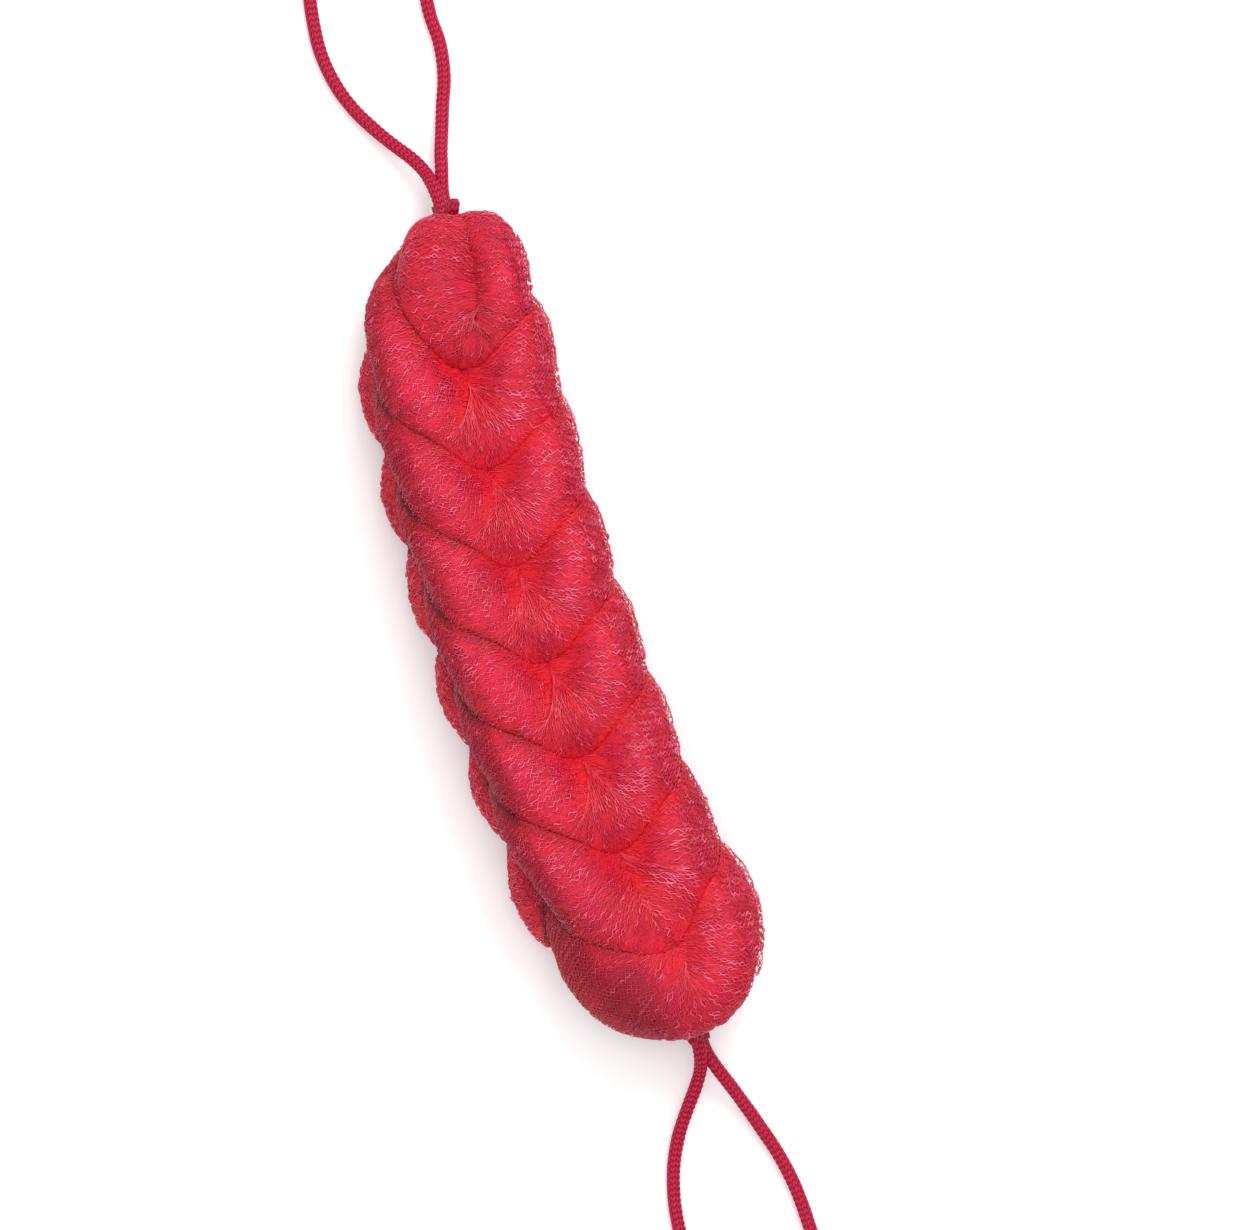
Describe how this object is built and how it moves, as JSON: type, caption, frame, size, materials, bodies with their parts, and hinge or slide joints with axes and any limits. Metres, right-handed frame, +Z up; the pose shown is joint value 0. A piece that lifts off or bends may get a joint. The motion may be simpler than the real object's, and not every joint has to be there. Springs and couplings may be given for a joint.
{
  "type": "loofah back scrubber",
  "caption": "Long bath scrubber: a fat chain-stitched body of gathered netting with a knitted cord hand loop at each end, pulled to and fro across the back.",
  "frame": {"origin": "bottom centre of the netting body's box, on the surface that the scrubber lies on, the hand loops left out", "axes": "+X along the body towards the end that the last stitch closes, +Z up, +Y to the side that the row of back bumps shows on"},
  "size_m": [0.5505, 0.0835, 0.0599],
  "materials": {
    "netting": "gathered polyethylene netting, crimson, soft sheen",
    "netting_edge": "netting's cut edge, pinker and more open",
    "cord": "knitted polyester cord, magenta, with dark gaps between the stitches",
    "thread": "waxed sewing thread, dark red"
  },
  "bodies": {
    "stitch_1": {"mesh_stitch_1": "netting", "cord_tail_bottom": "cord"},
    "stitch_2": {"mesh_stitch_2": "netting"},
    "stitch_3": {"mesh_stitch_3": "netting"},
    "stitch_4": {"mesh_stitch_4": "netting"},
    "stitch_5": {"mesh_stitch_5": "netting"},
    "stitch_6": {"mesh_stitch_6": "netting"},
    "stitch_7": {"mesh_stitch_7": "netting"},
    "stitch_8": {"mesh_stitch_8": "netting", "cord_tail_top": "cord"},
    "neck_top": {"stopper_knot_top": "cord", "cord_neck_top": "cord", "binding_thread_top": "thread", "mesh_collar_top": "netting_edge"},
    "neck_bottom": {"stopper_knot_bottom": "cord", "cord_neck_bottom": "cord", "binding_thread_bottom": "thread", "mesh_collar_bottom": "netting_edge"},
    "loop_top": {"handle_loop_top": "cord"},
    "loop_bottom": {"handle_loop_bottom": "cord"}
  },
  "joints": [
    {"name": "sway_3_4", "type": "hinge", "parent": "stitch_4", "child": "stitch_3", "pos_m": [-0.035, 0.0055, 0.0287], "axis": [0, 0, -1], "range_deg": [-14, 14]},
    {"name": "curl_2_3", "type": "hinge", "parent": "stitch_3", "child": "stitch_2", "pos_m": [-0.07, 0.0024, 0.0291], "axis": [0, 1, 0], "range_deg": [0, 14]},
    {"name": "sway_1_2", "type": "hinge", "parent": "stitch_2", "child": "stitch_1", "pos_m": [-0.105, -0.0021, 0.0295], "axis": [0, 0, -1], "range_deg": [-14, 14]},
    {"name": "curl_4_5", "type": "hinge", "parent": "stitch_4", "child": "stitch_5", "pos_m": [0, 0.0073, 0.0283], "axis": [0, -1, 0], "range_deg": [0, 14]},
    {"name": "sway_5_6", "type": "hinge", "parent": "stitch_5", "child": "stitch_6", "pos_m": [0.035, 0.0078, 0.028], "axis": [0, 0, 1], "range_deg": [-14, 14]},
    {"name": "curl_6_7", "type": "hinge", "parent": "stitch_6", "child": "stitch_7", "pos_m": [0.07, 0.0069, 0.0276], "axis": [0, -1, 0], "range_deg": [0, 14]},
    {"name": "sway_7_8", "type": "hinge", "parent": "stitch_7", "child": "stitch_8", "pos_m": [0.105, 0.0047, 0.0272], "axis": [0, 0, 1], "range_deg": [-14, 14]},
    {"name": "neck_swing_top", "type": "hinge", "parent": "stitch_8", "child": "neck_top", "pos_m": [0.1405, -0.0056, 0.0195], "axis": [0, 0, 1], "range_deg": [-22, 22]},
    {"name": "neck_swing_bottom", "type": "hinge", "parent": "stitch_1", "child": "neck_bottom", "pos_m": [-0.14, -0.0097, 0.0195], "axis": [0, 0, -1], "range_deg": [-22, 22]},
    {"name": "loop_lift_top", "type": "hinge", "parent": "neck_top", "child": "loop_top", "pos_m": [0.16163, -0.00634, 0.01344], "axis": [0, -1, 0], "range_deg": [0, 95]},
    {"name": "loop_lift_bottom", "type": "hinge", "parent": "neck_bottom", "child": "loop_bottom", "pos_m": [-0.16115, -0.0097, 0.01344], "axis": [0, 1, 0], "range_deg": [0, 95]}
  ],
  "couplings": [
    {"joint": "sway_1_2", "follows": "sway_3_4", "ratio": 1},
    {"joint": "sway_7_8", "follows": "sway_5_6", "ratio": 1},
    {"joint": "curl_6_7", "follows": "curl_4_5", "ratio": 1}
  ]
}
